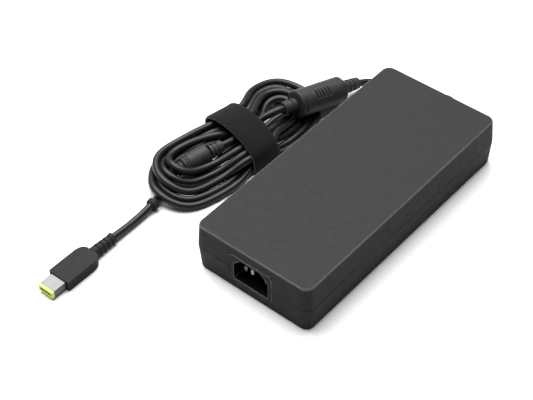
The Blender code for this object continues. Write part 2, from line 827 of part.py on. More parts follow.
def make_strap():
    """A closed band round the bundle."""
    turn = Matrix.Rotation(STRAP_ANGLE, 4, "Z")
    rings = []
    middle = (STRAP_TOP + STRAP_BOTTOM) / 2
    half_height = (STRAP_TOP - STRAP_BOTTOM) / 2
    for inset in (0.0, STRAP_THICKNESS):
        section = rounded_ring(STRAP_HALF_WIDTH - inset, half_height - inset, STRAP_CORNER - inset, 0.0)
        rings.append([(point.x, point.y + middle) for point in section])
    shape = bmesh.new()
    loops = []
    for side in (-1, 1):
        for ring in rings:
            loops.append([
                shape.verts.new(STRAP_CENTRE + turn @ Vector((x, side * STRAP_BREADTH / 2, z)))
                for x, z in ring
            ])
    near_outer, near_inner, far_outer, far_inner = loops
    count = len(near_outer)
    for first, second in (
        (near_outer, far_outer), (far_outer, far_inner), (far_inner, near_inner), (near_inner, near_outer),
    ):
        for index in range(count):
            following = (index + 1) % count
            shape.faces.new((first[index], first[following], second[following], second[index]))
    add_solid("hank_strap", shape, hook_and_loop())


def make_cord():
    wire("dc_cord_lead", smooth_route(lead_route(), 0.0058), CORD_RADIUS, cord_rubber())
    wire("dc_cord_tail", smooth_route(tail_route(), 0.0058), CORD_RADIUS, cord_rubber())
    make_hank()
    make_strap()
    make_ferrite(
        "ferrite", FERRITE_START, FERRITE_END, FERRITE_RADIUS,
        (SLEEVE_LENGTH, SLEEVE_LENGTH), ("case_side", "bundle_side"),
    )
    make_ferrite(
        "plug_end_bead", BEAD_START, BEAD_END, BEAD_RADIUS,
        (BEAD_FAR_SLEEVE, BEAD_NEAR_SLEEVE), ("bundle_side", "plug_side"),
    )
    collar = [
        (0.0037, 0.0),
        (0.0037, COLLAR_LENGTH * 0.7),
        (0.0031, COLLAR_LENGTH),
        (BORE_RADIUS, COLLAR_LENGTH),
        (BORE_RADIUS, 0.0),
    ]
    turned("cord_collar", collar[::-1], COLLAR_START, COLLAR_DIRECTION, moulded_rubber(), sides=16)


# Plug

def make_plug_body():
    """A flat grip with round shoulders."""
    half = PLUG_WIDTH / 2
    neck = 0.0032
    outline = [(-half, PLUG_FRONT_Y), (half, PLUG_FRONT_Y)]
    steps = 6
    for step in range(steps + 1):
        angle = math.pi / 2 * step / steps
        x = neck + (half - neck) * math.cos(angle)
        y = PLUG_SHOULDER_Y + (PLUG_BACK_Y - PLUG_SHOULDER_Y) * math.sin(angle)
        outline.append((x, y))
    outline += [(-x, y) for x, y in outline[:1:-1]]
    shifted = [(x + PLUG_X, y) for x, y in outline]
    bottom = PLUG_MIDDLE_Z - PLUG_THICKNESS / 2
    body = plate("plug_body", [shifted], bottom, bottom + PLUG_THICKNESS, moulded_rubber())
    seat = box(
        "plug_seat",
        (PLUG_X - TIP_WIDTH / 2 - GAP, PLUG_FRONT_Y - 0.001, PLUG_MIDDLE_Z - TIP_HEIGHT / 2 - GAP),
        (PLUG_X + TIP_WIDTH / 2 + GAP, PLUG_FRONT_Y + 0.0065, PLUG_MIDDLE_Z + TIP_HEIGHT / 2 + GAP),
        None, collection=CUTTERS,
    )
    cut(body, seat)
    round_over(body, 0.0005)


def make_plug_relief():
    """The ribbed sleeve between the cord and the plug."""
    length = PLUG_BACK_Y - RELIEF_TIP_Y
    ribs = 4
    pitch = -length * 0.80 / ribs
    groove = 0.0008
    profile = [(0.0, 0.0), (RELIEF_RADIUS, 0.0)]
    for index in range(ribs):
        start = pitch * index + 0.0022
        radius = RELIEF_RADIUS * (0.92 + 0.04 * index)
        profile += [(radius, start), (radius - groove, start), (radius - groove, start + pitch * 0.4),
                    (radius, start + pitch * 0.4)]
    profile += [(RELIEF_RADIUS * 1.03, -length - GAP), (0.0, -length - GAP)]
    turned(
        "plug_strain_relief", profile[::-1], (PLUG_X, RELIEF_TIP_Y, PLUG_MIDDLE_Z), (0, -1, 0),
        moulded_rubber(), sides=16,
    )


def tip_ring(inset, y):
    ring = []
    half_x, half_z = TIP_WIDTH / 2 - inset, TIP_HEIGHT / 2 - inset
    for point in rounded_ring(half_x, half_z, max(0.0006 - inset / 2, 0.0002), 0.0):
        ring.append(Vector((PLUG_X + point.x, y, PLUG_MIDDLE_Z + point.y)))
    return ring


def make_plug_tip():
    """A metal shell, the coloured insulator that lines and ends it, and the centre pin."""
    root = PLUG_FRONT_Y + 0.0060
    shell_end = TIP_END_Y + TIP_BAND + GAP
    shell = [
        tip_ring(TIP_WALL, root - 0.0010), tip_ring(TIP_WALL, shell_end),
        tip_ring(0.0, shell_end), tip_ring(0.0, root),
    ]
    loft("plug_shell", shell, nickel())
    liner = TIP_WALL + GAP
    band = TIP_END_Y + TIP_BAND
    hollow = 0.0012
    insulator = [
        tip_ring(hollow, root - 0.0040), tip_ring(hollow, TIP_END_Y), tip_ring(0.0, TIP_END_Y),
        tip_ring(0.0, band), tip_ring(liner, band), tip_ring(liner, root - 0.0014),
    ]
    loft("plug_insulator", insulator, finish("lime_insulator", (0.72, 0.84, 0.10), 0.45))
    box(
        "plug_centre_pin",
        (PLUG_X - 0.0008, TIP_END_Y + 0.0020, PLUG_MIDDLE_Z - 0.0004),
        (PLUG_X + 0.0008, root - 0.0044, PLUG_MIDDLE_Z + 0.0004),
        nickel(), edge=0.0001,
    )


def main():
    start_scene()
    cover = make_upper_cover()
    base = make_lower_case()
    open_case_ends(cover, base)
    make_rating_label()
    housing = make_inlet_housing()
    make_inlet_pins(housing)
    make_inlet_wires()
    make_board()
    make_mains_side()
    make_output_side()
    make_heat_spreader()
    make_output_wires()
    make_gland()
    make_cord()
    make_plug_body()
    make_plug_relief()
    make_plug_tip()


main()
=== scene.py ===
import json
import math

import bmesh
import bpy
import numpy as np
from mathutils import Matrix, Vector


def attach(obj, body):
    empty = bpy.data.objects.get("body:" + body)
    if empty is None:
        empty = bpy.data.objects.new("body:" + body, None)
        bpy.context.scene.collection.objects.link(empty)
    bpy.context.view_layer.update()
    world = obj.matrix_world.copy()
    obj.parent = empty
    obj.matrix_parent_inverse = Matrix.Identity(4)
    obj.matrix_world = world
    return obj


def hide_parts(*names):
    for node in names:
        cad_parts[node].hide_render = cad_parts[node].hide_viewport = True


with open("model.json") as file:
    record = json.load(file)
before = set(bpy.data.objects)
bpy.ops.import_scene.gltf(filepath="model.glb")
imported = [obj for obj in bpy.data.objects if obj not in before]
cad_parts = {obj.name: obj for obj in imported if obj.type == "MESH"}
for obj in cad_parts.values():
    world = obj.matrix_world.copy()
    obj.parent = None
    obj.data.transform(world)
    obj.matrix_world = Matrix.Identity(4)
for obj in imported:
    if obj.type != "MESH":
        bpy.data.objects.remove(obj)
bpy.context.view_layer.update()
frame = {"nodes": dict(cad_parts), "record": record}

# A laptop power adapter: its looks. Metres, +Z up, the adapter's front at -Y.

MM = 0.001

# Cord
CORD_RADIUS = 2.2 * MM
CORD_WIDTH = 2 * CORD_RADIUS
CORD_STEP = 2.5 * MM
BORE_RADIUS = 2.6 * MM

# Ends of the moulded pieces on the cord, within about 3 mm of those in the CAD part
GLAND_EXIT = Vector((0.0, 0.0915, 0.0120))
FERRITE_START = Vector((-0.0614, 0.0688, 0.0090))
FERRITE_END = Vector((-0.0690, 0.0365, 0.0150))
FERRITE_RADIUS = 8.3 * MM
BEAD_START = Vector((-0.0857, -0.0228, 0.0090))
BEAD_END = Vector((-0.0902, -0.0392, 0.0075))
BEAD_RADIUS = 6.2 * MM
COLLAR_START = Vector((-0.0860, -0.0672, 0.0040))
COLLAR_DIRECTION = Vector((0.13, -1.0, 0.0)).normalized()
COLLAR_LENGTH = 3.0 * MM
FERRITE_SLEEVE_RADIUS = 4.3 * MM
FERRITE_SLEEVE_LENGTH = 11.0 * MM
BEAD_SLEEVE_RADIUS = 4.1 * MM
BEAD_BUNDLE_SLEEVE_LENGTH = 8.0 * MM
BEAD_PLUG_SLEEVE_LENGTH = 5.0 * MM

# Strap round the middle of the hank: where it is, and the band itself
STRAP_MIDDLE = Vector((-0.0787, 0.0014, 0.0))
STRAP_ANGLE = math.radians(-13)
STRAP_HALF_BREADTH = 9.5 * MM
STRAP_THICKNESS = 1.4 * MM

# The room for the strands' centrelines inside it: half of its width, and its height
STRAP_INNER_HALF = 19.1 * MM
STRAP_LOW = 3.9 * MM
STRAP_HIGH = 12.4 * MM

# The band's line round the strands: its corners are rounded over this many degrees, it stands
# off by a share of what the rounding cuts, and it bulges a little on the side away from the case
STRAP_ROUNDING = 95
STRAP_SLACK = 0.75
STRAP_BULGE = 3.0 * MM
STRAP_BULGE_ANGLE = math.radians(172)
STRAP_CLEARANCE = 0.15 * MM
STRAP_STATIONS = 17
STRAP_ROUND_POINTS = 180
STRAP_CROWN = 0.25 * MM
STRAP_EDGE_FROM = 0.86
STRAP_EDGE_THINNING = 0.30
STRAP_FLOOR_GAP = 0.25 * MM
STRAP_INNER_FLOOR_GAP = 1.2 * MM

# Where the ribs face, in degrees round the ferrite from its upper side towards the case
FERRITE_RIB_ANGLE = 53.0

# Where the cord enters the plug's strain relief
PLUG_X = -0.08485
PLUG_MIDDLE_Z = 0.0036
RELIEF_TIP_Y = -0.1015
RELIEF_GAP = 0.3 * MM


# Materials

MATERIALS = {}

# Noise mostly lies between the first two of these
NOISE_LOW = 0.3
NOISE_HIGH = 0.7
NOISE_ROUGHNESS = 0.6

# How far the bevelled normal turns from the true one, as a cosine, where the lighter edges (a painted
# edge highlight, and edge wear) start and are full
WEAR_AND_HIGHLIGHT_STARTS = 0.985
WEAR_AND_HIGHLIGHT_FULL = 0.955


def node(tree, kind, **values):
    made = tree.nodes.new(kind)
    for name, value in values.items():
        if name in made.inputs:
            made.inputs[name].default_value = value
        else:
            setattr(made, name, value)
    return made


def noise(tree, place, scale, detail, stretch):
    mapping = node(tree, "ShaderNodeMapping")
    mapping.inputs["Scale"].default_value = stretch
    tree.links.new(place, mapping.inputs["Vector"])
    made = node(tree, "ShaderNodeTexNoise", Scale=scale, Detail=detail, Roughness=NOISE_ROUGHNESS)
    tree.links.new(mapping.outputs["Vector"], made.inputs["Vector"])
    return made.outputs["Fac"]


def ranged(tree, value, start, end, low, high):
    """The value mapped from start and end to low and high."""
    made = node(tree, "ShaderNodeMapRange")
    for slot, number in zip((1, 2, 3, 4), (start, end, low, high)):
        made.inputs[slot].default_value = number
    tree.links.new(value, made.inputs[0])
    return made.outputs[0]


def spread(tree, value, low, high):
    """Noise, stretched to run from low to high."""
    return ranged(tree, value, NOISE_LOW, NOISE_HIGH, low, high)


def tinted(tree, colour, factor):
    """The colour, made lighter or darker by the factor."""
    scaled = node(tree, "ShaderNodeVectorMath", operation="SCALE")
    scaled.inputs[0].default_value = colour
    tree.links.new(factor, scaled.inputs["Scale"])
    return scaled.outputs[0]


def edge_wear_and_highlight(tree, radius):
    """1 on sharp outer edges and 0 on flat faces, from the bevelled normal: the mask for a painted edge
    highlight and edge wear.
    """
    bevel = node(tree, "ShaderNodeBevel", samples=4)
    bevel.inputs["Radius"].default_value = radius
    geometry = node(tree, "ShaderNodeNewGeometry")
    dot = node(tree, "ShaderNodeVectorMath", operation="DOT_PRODUCT")
    tree.links.new(bevel.outputs[0], dot.inputs[0])
    tree.links.new(geometry.outputs["Normal"], dot.inputs[1])
    return ranged(tree, dot.outputs["Value"], WEAR_AND_HIGHLIGHT_STARTS, WEAR_AND_HIGHLIGHT_FULL, 0.0, 1.0)


def product(tree, first, second):
    made = node(tree, "ShaderNodeMath", operation="MULTIPLY")
    tree.links.new(first, made.inputs[0])
    tree.links.new(second, made.inputs[1])
    return made.outputs[0]


def worn_and_highlit(tree, place, base, colour, lift, radius, above):
    """The base colour, lighter by the lift on sharp outer edges that lie above the height: a painted
    edge highlight, and edge wear.
    """
    high = node(tree, "ShaderNodeSeparateXYZ")
    tree.links.new(place, high.inputs[0])
    over = node(tree, "ShaderNodeMath", operation="GREATER_THAN")
    over.inputs[1].default_value = above
    tree.links.new(high.outputs["Z"], over.inputs[0])
    light = node(tree, "ShaderNodeMix", data_type="RGBA")
    light.inputs["B"].default_value = (*[min(1.0, part + lift) for part in colour], 1.0)
    tree.links.new(product(tree, edge_wear_and_highlight(tree, radius), over.outputs[0]), light.inputs["Factor"])
    tree.links.new(base, light.inputs["A"])
    return light.outputs["Result"]


def surface(
    name, colour, roughness, metallic=0.0, grain=4000.0, bump=0.02, mottle=0.12, patch=120.0,
    wear_and_highlight=0.0, wear_and_highlight_radius=0.4 * MM, wear_and_highlight_above=0.0, stretch=(1, 1, 1), coat=0.0, sheen=0.0, specular=0.5,
):
    """A moulded, metal or painted surface: fine grain in the bump, slow variation in colour and gloss.

    Grain and patch are how fine the two noises are, bump is the grain's height in millimetres, and
    mottle and wear_and_highlight are how much the colour varies and how much lighter the edges are, the
    lighter edges being a painted edge highlight and edge wear.
    """
    if name in MATERIALS:
        return MATERIALS[name]
    gloss_variation = 0.06
    fine_mottle = 0.6 * mottle
    material = bpy.data.materials.new(name)
    material.use_nodes = True
    tree = material.node_tree
    shader = tree.nodes["Principled BSDF"]
    place = node(tree, "ShaderNodeTexCoord").outputs["Object"]
    slow = noise(tree, place, patch, 4.0, stretch)
    fine = noise(tree, place, grain, 2.0, stretch)
    factor = product(
        tree,
        spread(tree, slow, 1.0 - mottle, 1.0 + mottle),
        spread(tree, fine, 1.0 - fine_mottle, 1.0 + fine_mottle),
    )
    base = tinted(tree, colour, factor)
    # Lighter sharp edges: a painted edge highlight, and edge wear
    if wear_and_highlight:
        base = worn_and_highlit(tree, place, base, colour, wear_and_highlight, wear_and_highlight_radius, wear_and_highlight_above)
    tree.links.new(base, shader.inputs["Base Color"])
    dull = min(1.0, roughness + gloss_variation)
    glossy = max(0.0, roughness - gloss_variation)
    tree.links.new(spread(tree, slow, glossy, dull), shader.inputs["Roughness"])
    bumped = node(tree, "ShaderNodeBump", Strength=0.6, Distance=bump * MM)
    tree.links.new(fine, bumped.inputs["Height"])
    tree.links.new(bumped.outputs[0], shader.inputs["Normal"])
    shader.inputs["Metallic"].default_value = metallic
    shader.inputs["Coat Weight"].default_value = coat
    shader.inputs["Sheen Weight"].default_value = sheen
    shader.inputs["Specular IOR Level"].default_value = specular
    MATERIALS[name] = material
    return material


def case_plastic():
    # The lighter top edges, above 27 mm, are a painted highlight where the light catches the rounded top
    # edge
    return surface(
        "fine_matte_black_plastic", (0.0120, 0.0120, 0.0124), 0.60, grain=5200.0, bump=0.030,
        mottle=0.03, patch=260.0, wear_and_highlight=0.110, wear_and_highlight_radius=0.7 * MM, wear_and_highlight_above=27 * MM, specular=0.09,
    )


def inlet_plastic():
    # The lighter rim edges of the inlet are a painted highlight
    return surface(
        "smooth_black_inlet_plastic", (0.0034, 0.0034, 0.0036), 0.45, grain=2600.0, bump=0.010,
        mottle=0.10, wear_and_highlight=0.240, wear_and_highlight_radius=0.4 * MM, specular=0.07,
    )


def cord_rubber():
    return surface(
        "satin_black_cord_jacket", (0.0056, 0.0056, 0.0059), 0.38, grain=1500.0, bump=0.020,
        mottle=0.15, patch=90.0, specular=0.18,
    )


def moulded_rubber():
    # The lighter sharp edges are a painted edge highlight, with edge wear
    return surface(
        "moulded_black_rubber", (0.0145, 0.0145, 0.0150), 0.52, grain=3600.0, bump=0.025,
        mottle=0.08, patch=150.0, wear_and_highlight=0.030, wear_and_highlight_radius=0.3 * MM, specular=0.16,
    )


def plug_rubber():
    # The lighter sharp edges are a painted edge highlight, with edge wear
    return surface(
        "dark_grey_plug_moulding", (0.0085, 0.0085, 0.0088), 0.55, grain=4200.0, bump=0.025,
        mottle=0.06, patch=150.0, wear_and_highlight=0.030, wear_and_highlight_radius=0.4 * MM, specular=0.08,
    )


def nickel():
    return surface(
        "nickel_plate", (0.20, 0.20, 0.205), 0.26, metallic=1.0, grain=2200.0, bump=0.006,
        mottle=0.05, patch=300.0, stretch=(1, 0.12, 1),
    )


def polished_shell():
    """The plug's plated shell, a little less bright than bare nickel."""
    return surface(
        "plated_plug_shell", (0.088, 0.088, 0.090), 0.42, metallic=1.0, grain=2200.0, bump=0.004,
        mottle=0.05, patch=300.0, stretch=(1, 0.12, 1),
    )


def hook_and_loop():
    """Napped nylon: short loops as a coarse random bump with a sheen, over a mottled black base."""
    return surface(
        "hook_and_loop_nap", (0.0030, 0.0030, 0.0031), 0.90, grain=2600.0, bump=0.16,
        mottle=0.35, patch=500.0, sheen=0.04, specular=0.08,
    )


def strap_edge_highlight():
    """The strap's two long edges, painted paler as a highlight where the light catches them."""
    return surface(
        "strap_edge_painted_highlight", (0.060, 0.060, 0.062), 0.85, grain=2600.0, bump=0.05,
        mottle=0.45, patch=900.0, specular=0.12,
    )


SLOT_SURFACES = {
    "case_plastic": case_plastic,
    "inlet_plastic": inlet_plastic,
    "nickel": nickel,
    "cord_rubber": cord_rubber,
    "moulded_rubber": moulded_rubber,
    "hook_and_loop": hook_and_loop,
    "line_wire": lambda: surface("brown_wire", (0.16, 0.06, 0.02), 0.40, bump=0.01),
    "neutral_wire": lambda: surface("blue_wire", (0.02, 0.08, 0.42), 0.40, bump=0.01),
    "earth_wire": lambda: surface("green_wire", (0.05, 0.38, 0.06), 0.40, bump=0.01),
    "output_wire_red": lambda: surface("red_wire", (0.48, 0.02, 0.02), 0.40, bump=0.01),
    "output_wire_black": lambda: surface("black_wire", (0.02, 0.02, 0.02), 0.40, bump=0.01),
    "board": lambda: surface(
        "green_solder_mask", (0.02, 0.16, 0.06), 0.30, grain=900.0, bump=0.03, mottle=0.25, coat=0.4,
    ),
    "insulating_film": lambda: surface("milky_film", (0.55, 0.53, 0.46), 0.30, grain=700.0, bump=0.02),
    "aluminium": lambda: surface(
        "brushed_aluminium", (0.72, 0.73, 0.74), 0.34, metallic=1.0, grain=1600.0, bump=0.02,
        stretch=(1, 0.08, 1),
    ),
    "gap_pad": lambda: surface("grey_gap_pad", (0.34, 0.36, 0.40), 0.75, grain=1300.0, bump=0.08),
    "label_foil": lambda: surface(
        "matte_label_foil", (0.10, 0.10, 0.105), 0.42, metallic=0.3, grain=2600.0, bump=0.008,
    ),
    "fuse_body": lambda: surface("fuse_ceramic", (0.60, 0.56, 0.48), 0.35, grain=1800.0),
    "blue_coating": lambda: surface(
        "blue_dip_coating", (0.03, 0.13, 0.42), 0.35, grain=900.0, bump=0.05,
    ),
    "yellow_film": lambda: surface("yellow_film_case", (0.68, 0.50, 0.04), 0.35, grain=1500.0),
    "ferrite_core": lambda: surface(
        "grey_ferrite", (0.075, 0.073, 0.072), 0.62, grain=2300.0, bump=0.06, mottle=0.25,
    ),
    "winding_tape": lambda: surface("yellow_winding_tape", (0.70, 0.55, 0.08), 0.40, grain=1200.0),
    "copper": lambda: surface(
        "enamelled_copper", (0.74, 0.32, 0.14), 0.30, metallic=1.0, grain=2500.0, bump=0.05,
        stretch=(0.1, 1, 1),
    ),
    "epoxy": lambda: surface("black_epoxy", (0.025, 0.025, 0.026), 0.45, grain=2600.0, bump=0.03),
    "capacitor_sleeve": lambda: surface("dark_can_sleeve", (0.03, 0.03, 0.06), 0.28, grain=1500.0),
    "lime_insulator": lambda: surface(
        "lime_yellow_insulator", (0.42, 0.53, 0.04), 0.38, grain=2500.0, bump=0.010, mottle=0.06,
    ),
}


# Nodes whose finish differs from that of their slot
NODE_SURFACES = {
    "plug_body": plug_rubber,
    "plug_strain_relief": plug_rubber,
    "cord_collar": plug_rubber,
    "plug_shell": polished_shell,
}


def dress_cad_nodes():
    """Every node of the CAD part takes the finish of its material slot."""
    for subpart in frame["record"]["subparts"]:
        node_name = subpart["node"]
        finish = NODE_SURFACES.get(node_name, SLOT_SURFACES[subpart["material_slot"]])
        thing = frame["nodes"][node_name]
        thing.data.materials.clear()
        thing.data.materials.append(finish())


# Shapes

def add_piece(name, mesh, material, angle):
    """A new visible piece in the row frame, smooth but for edges sharper than the angle."""
    mesh.materials.append(material)
    mesh.shade_smooth()
    mesh.set_sharp_from_angle(angle=math.radians(angle))
    thing = bpy.data.objects.new(name, mesh)
    bpy.context.scene.collection.objects.link(thing)
    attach(thing, "root")
    return thing


def facing(origin, direction):
    """The matrix that puts local Z along the direction, with local Y as near to up as it can be."""
    along = direction.normalized()
    side = Vector((0, 0, 1)).cross(along).normalized()
    up = along.cross(side)
    turn = Matrix((side, up, along)).transposed()
    return Matrix.Translation(origin) @ turn.to_4x4()


def bridge(shape, rings):
    """Quads between each ring of vertices and the next, and between the last ring and the first."""
    for ring, other in zip(rings, rings[1:] + rings[:1]):
        count = len(ring)
        for index in range(count):
            after = (index + 1) % count
            shape.faces.new((ring[index], ring[after], other[after], other[index]))


# Cord

# The shortest length that a division is safe with, in metres
TINY = 1e-6

# Settling the cord: how far each rule moves a point in one pass, as a share of its error
SETTLING_PASSES = 420
UNEVEN_WEIGHT = 0.20
SAG_WEIGHT = 0.01
BEND_WEIGHT = 0.40
SPACING_WEIGHT = 0.25
HOME_WEIGHT = 0.030
ROD_WEIGHT = 0.5
STRAP_WEIGHT = 0.6
PUSH_SMOOTHINGS = 2

# Bends tighter than this are eased
EASED_BEND = 2.6 * CORD_WIDTH

# Points nearer than this along the cord don't push each other
OWN_STRETCH = 3.2 * CORD_WIDTH

# Pairs of points that may touch are looked for again after this many passes, with this margin
PASSES_PER_SEARCH = 8
SEARCH_MARGIN = 3.0 * MM

# The mouldings don't push the points that are this few steps from a held one
HELD_NEIGHBOURS = 5

# Strands this near to the strap's middle, across the hank, are held in by it as they settle, and
# lie inside it when it is wrapped round them
STRAP_CATCH = 24.0 * MM
STRAP_SEARCH = 26.0 * MM

# The turns of the hank, in millimetres. Each spoke starts at a point on the floor and points
# outwards at an angle in degrees, and each turn crosses the spokes in this order.
SPOKES = (
    (-78.5, 2.2, 167), (-88, -22, 166), (-88, -36, 200), (-88, -36, 235),
    (-88, -36, 270), (-88, -36, 310), (-84, -24, 350), (-82, -12, 347),
    (-78.5, 2.2, 347), (-79, 18, 352), (-80, 34, 0), (-80, 34, 40),
    (-80, 34, 85), (-80, 34, 130), (-80, 34, 170), (-79, 18, 170),
)

# The turns in their order along the cord: how far out along each spoke each crosses, and how high
TURNS = (
    (
        (4.6, 9.2), (8.5, 11.0), (12.9, 10.5), (10.8, 11.6), (8.6, 11.0), (7.4, 9.6),
        (6.9, 8.0), (9.8, 11.6), (9.3, 12.4), (10.0, 10.4), (8.6, 7.4), (7.4, 5.6),
        (11.2, 6.8), (12.0, 6.4), (10.4, 5.0), (3.8, 6.0),
    ),
    (
        (8.1, 7.8), (4.8, 6.8), (8.8, 6.0), (9.6, 3.6), (9.8, 2.2), (9.0, 2.2),
        (3.0, 2.2), (-0.6, 2.6), (-0.4, 4.1), (0.2, 2.4), (0.6, 2.2), (2.6, 2.2),
        (9.4, 2.2), (14.6, 2.2), (15.6, 2.2), (10.6, 4.4),
    ),
    (
        (12.5, 8.4), (14.0, 5.8), (15.6, 7.4), (15.2, 9.4), (14.0, 9.0), (11.6, 5.4),
        (11.0, 5.2), (14.3, 10.4), (13.9, 12.0), (15.7, 6.6), (14.9, 2.4), (14.2, 2.6),
        (17.4, 2.6), (20.0, 6.4), (18.8, 6.6), (14.4, 8.1),
    ),
    (
        (15.0, 5.0), (11.7, 2.4), (14.4, 2.8), (17.2, 4.4), (21.7, 6.4), (23.9, 3.7),
        (19.9, 2.2), (17.0, 3.3), (14.3, 4.1), (18.4, 2.4), (19.2, 2.2), (18.5, 2.2),
        (21.7, 2.2), (22.4, 2.2), (20.4, 2.2), (17.8, 3.8),
    ),
    (
        (18.8, 4.0), (18.1, 2.3), (20.1, 3.4), (21.7, 5.4), (26.9, 6.9), (28.1, 3.0),
        (23.4, 2.2), (20.4, 2.5), (18.8, 4.2), (22.8, 2.4), (23.6, 2.2), (22.9, 2.2),
        (26.0, 2.5), (28.4, 4.4), (23.4, 7.2), (17.6, 10.0),
    ),
    (
        (18.9, 10.3), (15.9, 9.7), (18.3, 10.5), (18.6, 10.7), (20.3, 10.5), (20.2, 6.4),
        (16.4, 5.2), (18.6, 10.0), (18.6, 11.8), (13.7, 10.6), (11.2, 4.8), (10.6, 2.6),
        (15.2, 6.4), (16.4, 7.2), (14.6, 7.8), (8.4, 11.6),
    ),
)


def lead_route():
    """From the gland, round behind the case, through the ferrite and down to the strap.

    Each route is a list of stretches, with "held" where a moulding grips the cord.
    """
    unit = (FERRITE_END - FERRITE_START).normalized()
    gland = [GLAND_EXIT, Vector((0.0, 0.0945, 0.0119))]
    before = [
        Vector((-0.0006, 0.0978, 0.0114)),
        Vector((-0.0030, 0.1014, 0.0102)),
        Vector((-0.0072, 0.1038, 0.0080)),
        Vector((-0.0125, 0.1046, 0.0058)),
        Vector((-0.0230, 0.1040, 0.0034)),
        Vector((-0.0350, 0.1008, 0.0028)),
        Vector((-0.0460, 0.0965, 0.0031)),
        Vector((-0.0540, 0.0915, 0.0042)),
    ]
    through = [FERRITE_START + unit * d * MM for d in (-15, -7.5, 0, 11, 23)]
    through += [FERRITE_END + unit * d * MM for d in (0, 7, 13)]
    after = [Vector((-0.0753, 0.0180, 0.0154)), Vector((-0.0790, 0.0112, 0.0126))]
    return [("held", gland), ("free", before), ("held", through), ("free", after)]


def tail_route():
    """From the strap, through the bead, under the near end of the hank and on to the plug."""
    unit = (BEAD_END - BEAD_START).normalized()
    crossing = [Vector((-0.0815, 0.0052, 0.0124)), Vector((-0.0788, -0.0075, 0.0124))]
    through = [BEAD_START + unit * d * MM for d in (-9.5, -5, 0, 6, 12)]
    through += [BEAD_END + unit * d * MM for d in (0, 4.5)]
    under = [
        Vector((-0.0921, -0.0472, 0.0060)),
        Vector((-0.0915, -0.0525, 0.0037)),
        Vector((-0.0896, -0.0580, 0.0025)),
        Vector((-0.0874, -0.0635, 0.0028)),
    ]
    collar = [COLLAR_START, COLLAR_START + COLLAR_DIRECTION * COLLAR_LENGTH]
    last = [
        Vector((-0.0852, -0.0760, 0.0034)),
        Vector((-0.0850, -0.0840, 0.0029)),
        Vector((-0.0849, -0.0920, 0.0030)),
        Vector((-0.08485, -0.0980, 0.0034)),
    ]
    end = [Vector((PLUG_X, RELIEF_TIP_Y + RELIEF_GAP, PLUG_MIDDLE_Z))]
    return [
        ("free", crossing), ("held", through), ("free", under),
        ("held", collar), ("free", last), ("held", end),
    ]


def turn_route(turn):
    """Where one turn crosses each spoke."""
    points = []
    for (x, y, angle), (reach, height) in zip(SPOKES, turn):
        outwards = math.radians(angle)
        points.append(Vector((
            (x + reach * math.cos(outwards)) * MM,
            (y + reach * math.sin(outwards)) * MM,
            height * MM,
        )))
    return points


def smooth_line(points, held, step):
    """Evenly spaced points on a smooth curve through the given ones, and which of them are held."""
    samples_per_step = 4
    chain = [2 * points[0] - points[1]] + points + [2 * points[-1] - points[-2]]
    line = []
    firm = []
    for index in range(len(points) - 1):
        knots = chain[index:index + 4]
        times = [0.0]
        for start, end in zip(knots, knots[1:]):
            times.append(times[-1] + math.sqrt(max((end - start).length, TINY)))
        samples = max(2, round((knots[2] - knots[1]).length / step * samples_per_step))
        for sample in range(samples):
            t = times[1] + (times[2] - times[1]) * sample / samples
            line.append(on_spline(knots, times, t))
            firm.append(held[index] and held[index + 1])
    line.append(points[-1])
    firm.append(held[-1])
    line = np.array(line)
    along = length_along(line)
    places = np.linspace(0.0, along[-1], round(along[-1] / step) + 1)
    even = np.stack([np.interp(places, along, line[:, axis]) for axis in range(3)], axis=1)
    nearest = np.clip(np.searchsorted(along, places), 0, len(firm) - 1)
    return even, np.array(firm)[nearest]


def on_spline(knots, times, t):
    """The point at time t between the middle two of four knots, on a centripetal spline."""
    def mix(start, end, low, high):
        share = (t - times[low]) / (times[high] - times[low])
        return start * (1 - share) + end * share

    chords = [mix(knots[k], knots[k + 1], k, k + 1) for k in range(3)]
    arcs = [mix(chords[k], chords[k + 1], k, k + 2) for k in range(2)]
    return mix(arcs[0], arcs[1], 1, 2)


def length_along(line):
    """The length from the line's start to each of its points."""
    return np.concatenate([[0.0], np.cumsum(np.linalg.norm(np.diff(line, axis=0), axis=1))])


def strap_axes():
    """Unit vectors on the floor, across the hank and along it at the strap."""
    across = np.array([math.cos(STRAP_ANGLE), math.sin(STRAP_ANGLE)])
    return across, np.array([-across[1], across[0]])


def strap_places(line):
    """How far each point lies from the strap's middle, across the hank and along it."""
    across, along = strap_axes()
    flat = line[:, :2] - np.array(STRAP_MIDDLE[:2])
    return flat @ across, flat @ along


def moulding_rods():
    """The mouldings that the turns lie against: each one's two ends and the room it takes."""
    ferrite_unit = (FERRITE_END - FERRITE_START).normalized()
    bead_unit = (BEAD_END - BEAD_START).normalized()
    ferrite_sleeve_tip = FERRITE_END + ferrite_unit * FERRITE_SLEEVE_LENGTH
    bundle_sleeve_tip = BEAD_START - bead_unit * BEAD_BUNDLE_SLEEVE_LENGTH
    plug_sleeve_tip = BEAD_END + bead_unit * BEAD_PLUG_SLEEVE_LENGTH
    return (
        (FERRITE_START, FERRITE_END, FERRITE_RADIUS + CORD_RADIUS),
        (FERRITE_END, ferrite_sleeve_tip, FERRITE_SLEEVE_RADIUS + CORD_RADIUS),
        (BEAD_START, BEAD_END, BEAD_RADIUS + CORD_RADIUS),
        (bundle_sleeve_tip, BEAD_START, BEAD_SLEEVE_RADIUS + CORD_RADIUS),
        (BEAD_END, plug_sleeve_tip, BEAD_SLEEVE_RADIUS + CORD_RADIUS),
    )


